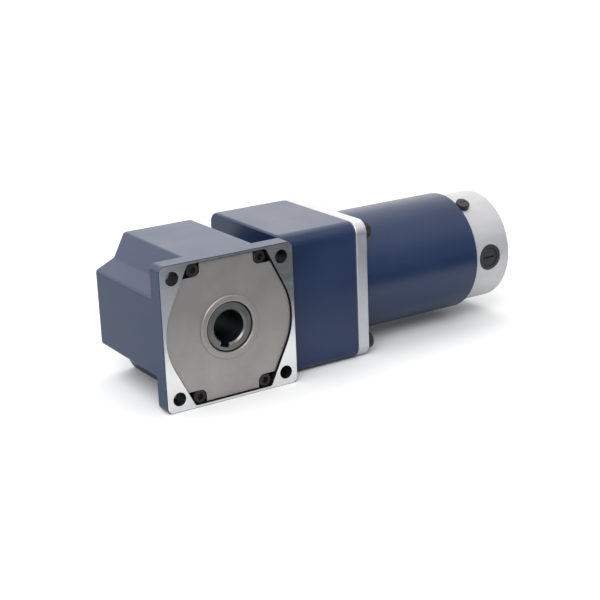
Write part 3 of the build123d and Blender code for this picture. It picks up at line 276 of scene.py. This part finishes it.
def bare_metal(name, color, rough, depth=0.00002, turned=None):
    """Bare metal with its making marks: straight grinding along X, or rings turned about an axis.

    turned holds the axis across, the place of the centre on it, and the pitch of the rings."""
    s = Shader(name)
    tone = s.cloudy(s.noise(35.0, 5.0, 0.6), shade(color, 0.90), shade(color, 1.07))
    tone = s.mix(s.math("MULTIPLY", s.edges(0.0005), 0.35), tone, shade(color, 1.35, 0.06))
    spots = s.spread(s.noise(900.0, 3.0, 0.7), 0.62, 0.75, 0.0, 0.25)
    tone = s.mix(spots, tone, shade(color, 0.6))
    if turned:
        across, centre, pitch = turned
        place = s.split(s.place)
        reach = s.hypot(s.math("SUBTRACT", place[across], centre), place["Z"])
        height = s.math("ADD", s.math("MULTIPLY", s.wave(reach, pitch), 0.6), s.noise(1500.0, 3.0, 0.6))
    else:
        height = s.noise(700.0, 3.0, 0.6, s.stretch((0.06, 1.0, 1.0)))
    return s.set(color=tone, metallic=1.0, normal=s.bump(height, depth, 0.6),
                 roughness=s.cloudy_value(s.noise(90.0, 4.0, 0.6), rough * 0.85, rough * 1.15))


def output_cover_metal():
    """Grey turned cover; the screw pockets and the rim under its face are painted near-black as shade."""
    s = Shader("turned_cover")
    place = s.split(s.place)
    reach = s.hypot(place["X"], place["Z"])
    tone = s.cloudy(s.noise(30.0, 5.0, 0.6), rgb(0.322, 0.303, 0.295), rgb(0.394, 0.373, 0.363))
    spots = s.spread(s.noise(900.0, 3.0, 0.7), 0.62, 0.75, 0.0, 0.25)
    tone = s.mix(spots, tone, rgb(0.22, 0.21, 0.20))
    tone = s.mix(s.math("MULTIPLY", s.edges(0.0005), 0.4), tone, rgb(0.62, 0.61, 0.60))
    # deeper than the turned face: painted shade, near-black and without shine
    below = s.math("GREATER_THAN", place["Y"], COVER_FACE + 0.0005)
    height = s.math("ADD", s.math("MULTIPLY", s.wave(reach, TURNED), 0.6), s.noise(1500.0, 3.0, 0.6))
    rough = s.cloudy_value(s.noise(90.0, 4.0, 0.6), 0.44, 0.53)
    return s.set(color=s.mix(below, tone, rgb(0.014, 0.014, 0.015)),
                 metallic=s.spread(below, 0.0, 1.0, 0.85, 0.0),
                 roughness=s.spread(below, 0.0, 1.0, rough, 0.6), normal=s.bump(height, 0.000012, 0.6),
                 specular=s.spread(below, 0.0, 1.0, 0.5, 0.06))


def end_cap_metal():
    """Die-cast aluminium: pale satin skin with flow marks and painted shade in its corners; the end face is
    turned in rings.
    """
    s = Shader("cast_cap")
    place = s.split(s.place)
    flow = s.noise(28.0, 6.0, 0.62, s.stretch((0.35, 1.0, 1.0)))
    skin = s.mix(s.spread(flow, 0.32, 0.68, 0.0, 1.0), rgb(0.510, 0.505, 0.515), rgb(0.615, 0.610, 0.622))
    pits = s.spread(s.noise(1100.0, 3.0, 0.7), 0.60, 0.74, 0.0, 0.35)
    skin = s.mix(pits, skin, rgb(0.33, 0.33, 0.34))
    skin = s.mix(s.math("MULTIPLY", s.edges(0.0006), 0.4), skin, rgb(0.82, 0.82, 0.83))
    # painted shade: corners and gaps within 3 mm darkened
    skin = s.mix(s.crevice_shade(0.003, 0.6), skin, rgb(0.10, 0.10, 0.10))
    end = s.math("GREATER_THAN", place["X"], CAP_END - 0.0004)
    reach = s.hypot(s.math("SUBTRACT", place["Y"], MOTOR_Y), place["Z"])
    rings = s.math("MULTIPLY", end, s.math("MULTIPLY", s.wave(reach, COARSE_TURNED), 0.6))
    height = s.math("ADD", rings, s.noise(700.0, 4.0, 0.65))
    rough = s.cloudy_value(s.noise(80.0, 4.0, 0.6), 0.50, 0.60)
    rough = s.math("SUBTRACT", rough, s.math("MULTIPLY", end, 0.12))
    return s.set(color=skin, metallic=s.spread(end, 0.0, 1.0, 0.62, 0.9), roughness=rough,
                 normal=s.bump(height, 0.00004, 0.6))


def shaft_steel():
    """Hollow shaft: dark oiled steel, with painted shade down the bore and a painted highlight on the
    chamfers.
    """
    s = Shader("shaft_steel")
    place = s.split(s.place)
    reach = s.hypot(place["X"], place["Z"])
    # inside the bore, past both chamfers: painted near-black shade
    down = s.math("MULTIPLY", s.math("GREATER_THAN", place["Y"], SHAFT_FROM + MOUTH),
                  s.math("LESS_THAN", place["Y"], SHAFT_TO - MOUTH))
    bore = s.math("MULTIPLY", down, s.math("LESS_THAN", reach, BORE_WALL))
    cloud = s.noise(60.0, 4.0, 0.6)
    tone = s.cloudy(cloud, rgb(0.145, 0.145, 0.142), rgb(0.20, 0.20, 0.195))
    # edges and chamfers lifted toward light grey: a painted highlight
    tone = s.mix(s.math("MULTIPLY", s.edges(0.0006), 0.6), tone, rgb(0.55, 0.55, 0.55))
    tone = s.mix(bore, tone, rgb(0.050, 0.064, 0.068))
    height = s.math("ADD", s.math("MULTIPLY", s.wave(reach, TURNED), 0.4), s.noise(1200.0, 3.0, 0.6))
    return s.set(color=tone, metallic=0.9, roughness=s.cloudy_value(cloud, 0.30, 0.40),
                 normal=s.bump(height, 0.00001, 0.5))


def dark_steel(name, color, rough):
    """Black-oxide or phosphated steel: nearly black, faintly brown where handled."""
    s = Shader(name)
    cloud = s.noise(180.0, 4.0, 0.6)
    brown = rgb(color[0] * 1.7, color[1] * 1.45, color[2] * 1.35)
    tone = s.mix(s.spread(cloud, 0.35, 0.65, 0.0, 1.0), rgb(*color), brown)
    tone = s.mix(s.math("MULTIPLY", s.edges(0.0003), 0.4), tone, rgb(0.16, 0.16, 0.17))
    return s.set(color=tone, metallic=0.55, roughness=s.cloudy_value(cloud, rough, rough + 0.14),
                 normal=s.bump(s.noise(2200.0, 2.0), 0.00001, 0.5))


def moulded(name, color, rough, grain=1600.0, depth=0.00002):
    """Rubber, plastic, paper and carbon: a fine grain and a dusty mottle."""
    s = Shader(name)
    mottle = s.noise(120.0, 4.0, 0.6)
    tone = s.cloudy(mottle, shade(color, 0.85), shade(color, 1.2, 0.004))
    return s.set(color=tone, metallic=0.0, roughness=s.cloudy_value(mottle, rough - 0.06, rough + 0.06),
                 normal=s.bump(s.noise(grain, 3.0, 0.6), depth, 0.6))


def banded(name, color, gap_color, pitch, metallic=1.0, rough=0.4, depth=0.00008):
    """Stacked or wound layers: thin bands along X, as laminations and wire turns have."""
    s = Shader(name)
    ridge = s.spread(s.wave(s.split(s.place)["X"], pitch), -1.0, 0.2, 0.0, 1.0)
    cloud = s.noise(70.0, 4.0, 0.6)
    tone = s.mix(ridge, rgb(*gap_color), rgb(*color))
    tone = s.mix(s.spread(cloud, 0.4, 0.7, 0.0, 0.35), tone, shade(color, 0.6))
    return s.set(color=tone, metallic=metallic, normal=s.bump(ridge, depth, 0.7),
                 roughness=s.cloudy_value(cloud, rough * 0.85, rough * 1.2))


MATERIALS = {
    "housing_paint": gear_case_enamel(),
    "tube_paint": enamel("tube_enamel", 700.0, 0.00002)[0].material,
    "cover_metal": output_cover_metal(),
    "flange_metal": bare_metal("milled_plate", (0.64, 0.63, 0.68), 0.46, 0.00003),
    "cap_metal": end_cap_metal(),
    "gasket": moulded("gasket_paper", (0.10, 0.10, 0.09), 0.8, 500.0, 0.00004),
    "black_steel": dark_steel("black_oxide", (0.018, 0.018, 0.020), 0.36),
    "steel": bare_metal("ground_steel", (0.36, 0.35, 0.35), 0.34, 0.00001, ("X", 0.0, COARSE_TURNED)),
    "gear_steel": bare_metal("gear_steel", (0.42, 0.41, 0.41), 0.30),
    "bearing_steel": bare_metal("bearing_steel", (0.62, 0.62, 0.63), 0.12, 0.000004),
    "spring_steel": dark_steel("spring_steel", (0.06, 0.06, 0.062), 0.34),
    "cage_brass": bare_metal("cage_brass", (0.62, 0.44, 0.17), 0.32),
    "rubber": moulded("nitrile_rubber", (0.012, 0.013, 0.014), 0.50, 900.0, 0.00003),
    "ferrite": moulded("ferrite", (0.05, 0.05, 0.055), 0.62, 1100.0, 0.00003),
    "black_plastic": moulded("phenolic", (0.014, 0.015, 0.017), 0.40, 1300.0, 0.00002),
    "carbon": moulded("carbon", (0.03, 0.03, 0.032), 0.66, 800.0, 0.00003),
    "lead_cover": moulded("lead_vinyl", (0.02, 0.02, 0.022), 0.45),
    "lamination": banded("laminations", (0.34, 0.34, 0.36), (0.10, 0.09, 0.09), 0.001),
    "copper_wire": banded("enamelled_wire", (0.48, 0.18, 0.07), (0.16, 0.05, 0.02), 0.0009,
                          0.8, 0.35, 0.0002),
    "copper_bars": bare_metal("commutator_copper", (0.72, 0.36, 0.22), 0.28,
                              turned=("Y", MOTOR_Y, TURNED)),
}

for name, node in NODES.items():
    for slot in node.material_slots:
        slot.material = MATERIALS[SLOT_OF[name]]
for slot in NODES["output_shaft"].material_slots:
    slot.material = shaft_steel()


# =============================== pieces added round the CAD ===============================
def keep_piece(name, work, body, slot):
    """Turn a bmesh into an object that rides on a body and takes a slot's finish."""
    bmesh.ops.recalc_face_normals(work, faces=work.faces)
    mesh = bpy.data.meshes.new(name)
    work.to_mesh(mesh)
    work.free()
    mesh.materials.append(MATERIALS[slot])
    piece = bpy.data.objects.new(name, mesh)
    bpy.context.scene.collection.objects.link(piece)
    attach(piece, body)


def join_loops(work, loops, closed):
    """Quads between neighbouring loops of points; closed joins the last loop to the first."""
    rows = [[work.verts.new(point) for point in loop] for loop in loops]
    following = rows[1:] + (rows[:1] if closed else [])
    for row, after in zip(rows, following):
        for i in range(len(row)):
            j = (i + 1) % len(row)
            work.faces.new((row[i], row[j], after[j], after[i]))
    return rows


KNURL_RIDGES = 42
KNURL_HEIGHT = 0.00018
MOTOR_HEAD = 0.005                          # screw head radii
COVER_HEAD = 0.004
MOTOR_KNURL = (0.005, 0.0007, 0.0056)       # radius, start and end along the screw
COVER_KNURL = (0.00396, 0.0006, 0.0036)


def knurl(work, place, head, start, end):
    """Straight knurling round a screw head; place carries local z along the screw."""
    inside, valley, crest = head - 0.0002, head + 0.00002, head + KNURL_HEIGHT
    loops = []
    for low, high, z in (
        (inside, inside, start), (valley, valley, start), (valley, crest, start + KNURL_HEIGHT),
        (valley, crest, end - KNURL_HEIGHT), (valley, valley, end), (inside, inside, end),
    ):
        loop = []
        for i in range(2 * KNURL_RIDGES):
            angle = math.pi * i / KNURL_RIDGES
            radius = high if i % 2 else low
            loop.append(place @ Vector((radius * math.cos(angle), radius * math.sin(angle), z)))
        loops.append(loop)
    join_loops(work, loops, closed=True)


def screw_knurling():
    """Knurled rims on the four motor screws and the four cover screws."""
    low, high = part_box("motor_screws")
    work = bmesh.new()
    for y in (low.y + MOTOR_HEAD, high.y - MOTOR_HEAD):
        for z in (low.z + MOTOR_HEAD, high.z - MOTOR_HEAD):
            place = Matrix.Translation((high.x, y, z)) @ Matrix.Rotation(-math.pi / 2, 4, "Y")
            knurl(work, place, *MOTOR_KNURL)
    keep_piece("motor_screw_knurling", work, "housing", "black_steel")
    low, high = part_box("output_cover_screws")
    work = bmesh.new()
    for x in (low.x + COVER_HEAD, high.x - COVER_HEAD):
        for z in (low.z + COVER_HEAD, high.z - COVER_HEAD):
            place = Matrix.Translation((x, low.y, z)) @ Matrix.Rotation(-math.pi / 2, 4, "X")
            knurl(work, place, *COVER_KNURL)
    keep_piece("cover_screw_knurling", work, "housing", "black_steel")


LEAD_OUT = 0.0400           # cut ends of the leads, from the motor axis
LEAD_SPACING = 0.0026
STRAND = 0.00024            # radius of one strand
STRANDS = 7                 # one in the middle, six round it
TWIST = 600.0               # radians per metre
# rise above the cut end and share of the full radius: the tips are rounded
STRAND_STEPS = ((-0.0006, 1.0), (0.0001, 1.0), (0.0004, 1.0), (0.00052, 0.8), (0.00058, 0.4))


def lead_strands():
    """Seven twisted copper strands that show at the cut end of each lead."""
    low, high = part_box("cable_grommet")
    middle = (low + high) / 2
    outward = Vector((0.0, middle.y - MOTOR_Y, middle.z)).normalized()
    side = Vector((1.0, 0.0, 0.0))
    across = outward.cross(side)
    work = bmesh.new()
    for lead in (-0.5, 0.5):
        foot = Vector((middle.x + lead * LEAD_SPACING, MOTOR_Y, 0.0)) + outward * LEAD_OUT
        for strand in range(STRANDS):
            away = 0.0 if strand == 0 else 2.05 * STRAND
            loops = []
            for rise, round_off in STRAND_STEPS:
                turn = strand * math.pi / 3 + rise * TWIST
                centre = foot + outward * rise + away * (side * math.cos(turn) + across * math.sin(turn))
                loops.append([centre + STRAND * round_off * (side * math.cos(a) + across * math.sin(a))
                              for a in (i * math.pi / 5 for i in range(10))])
            rows = join_loops(work, loops, closed=False)
            work.faces.new(rows[0])
            work.faces.new(rows[-1])
    keep_piece("lead_strands", work, "housing", "copper_wire")


screw_knurling()
lead_strands()


# =============================== stage, light, camera ===============================
def pale_floor():
    """White paper; in reflections it shows a bright card by the object and darkness further out."""
    mesh = bpy.data.meshes.new("floor")
    work = bmesh.new()
    bmesh.ops.create_circle(work, cap_ends=True, segments=64, radius=14.0)
    work.to_mesh(mesh)
    work.free()
    floor = bpy.data.objects.new("floor", mesh)
    floor.location = (0, 0, FLOOR_Z)
    bpy.context.scene.collection.objects.link(floor)
    s = Shader("floor_white")
    pale = s.cloudy(s.noise(3.0, 2.0), rgb(0.92, 0.92, 0.92), rgb(0.94, 0.94, 0.94))
    mirrored = s.node("ShaderNodeLightPath").outputs["Is Glossy Ray"]
    place = s.split(s.place)
    near = s.spread(place["Y"], -0.132, -0.066, 0.0, 1.0)
    beside = s.spread(place["Y"], -0.02, 0.06, 0.0, 1.0)
    aside = s.spread(place["X"], 0.06, 0.12, 0.0, 1.0)
    far = s.mix(aside, rgb(0.27, 0.28, 0.30), rgb(0.085, 0.094, 0.097))
    seen = s.mix(near, far, rgb(0.83, 0.83, 0.82))
    seen = s.mix(beside, seen, rgb(0.56, 0.59, 0.58))
    s.set(color=s.mix(mirrored, pale, seen), roughness=0.9, specular=0.0)
    reach = s.hypot(place["X"], place["Y"])
    s.put(s.surface.inputs["Emission Color"], rgb(1.0, 1.0, 1.0))
    s.put(s.surface.inputs["Emission Strength"],
          s.math("MULTIPLY", s.spread(reach, 0.4, 3.0, 0.0, 0.6), s.math("SUBTRACT", 1.0, mirrored)))
    mesh.materials.append(s.material)


def soft_sky():
    """A white studio: bright overhead and behind the object, dimmer on the viewer's side.

    Reflections see a brighter wall low down; the camera sees plain white."""
    world = bpy.data.worlds.new("studio")
    bpy.context.scene.world = world
    world.use_nodes = True
    s = NodeTree(world.node_tree)
    look = s.split(s.node("ShaderNodeTexCoord").outputs["Generated"])
    behind = s.math("ADD", s.math("MULTIPLY", look["Y"], 0.45), look["Z"])
    low_wall = s.spread(look["Z"], 0.35, 0.85, 0.64, 0.05)
    path = s.node("ShaderNodeLightPath").outputs
    sky = s.tree.nodes["Background"]
    s.put(sky.inputs["Color"], s.mix(s.spread(behind, 0.0, 0.55, 0.0, 1.0), rgb(0.30, 0.32, 0.34),
                                     rgb(1.0, 1.0, 1.0)))
    s.put(sky.inputs["Strength"], s.math("ADD", s.math("MULTIPLY", path["Is Glossy Ray"], low_wall), 0.95))
    white = s.node("ShaderNodeBackground")
    white.inputs["Color"].default_value = rgb(1.0, 1.0, 1.0)
    seen = s.node("ShaderNodeMixShader")
    s.link(path["Is Camera Ray"], seen.inputs["Fac"])
    s.link(sky.outputs[0], seen.inputs[1])
    s.link(white.outputs[0], seen.inputs[2])
    s.link(seen.outputs[0], s.tree.nodes["World Output"].inputs["Surface"])


def softbox(name, place, target, size, power):
    data = bpy.data.lights.new(name, "AREA")
    data.shape = "RECTANGLE"
    data.size, data.size_y = size
    data.energy = power
    light = bpy.data.objects.new(name, data)
    light.location = place
    light.rotation_euler = (Vector(target) - Vector(place)).to_track_quat("-Z", "Y").to_euler()
    bpy.context.scene.collection.objects.link(light)


def main_camera():
    data = bpy.data.cameras.new("camera")
    data.lens = LENS
    data.sensor_width = 36.0
    data.clip_start, data.clip_end = 0.05, 60.0
    camera = bpy.data.objects.new("camera", data)
    bpy.context.scene.collection.objects.link(camera)
    flat = math.cos(VIEW_ELEVATION)
    back = Vector((math.sin(VIEW_AZIMUTH) * flat, -math.cos(VIEW_AZIMUTH) * flat, math.sin(VIEW_ELEVATION)))
    level = (-back).to_track_quat("-Z", "Y").to_matrix().to_4x4()
    camera.matrix_world = (Matrix.Translation(VIEW_TARGET + back * VIEW_DISTANCE) @ level
                           @ Matrix.Rotation(-VIEW_ROLL, 4, "Z"))
    bpy.context.scene.camera = camera


pale_floor()
soft_sky()
softbox("key", (-0.9, -1.1, 1.3), (0.05, 0.05, 0.0), (1.2, 1.2), 20.0)
softbox("top", (0.2, 0.6, 1.6), (0.08, 0.05, 0.0), (1.6, 1.2), 9.0)
main_camera()
bpy.context.scene.view_settings.view_transform = "Standard"
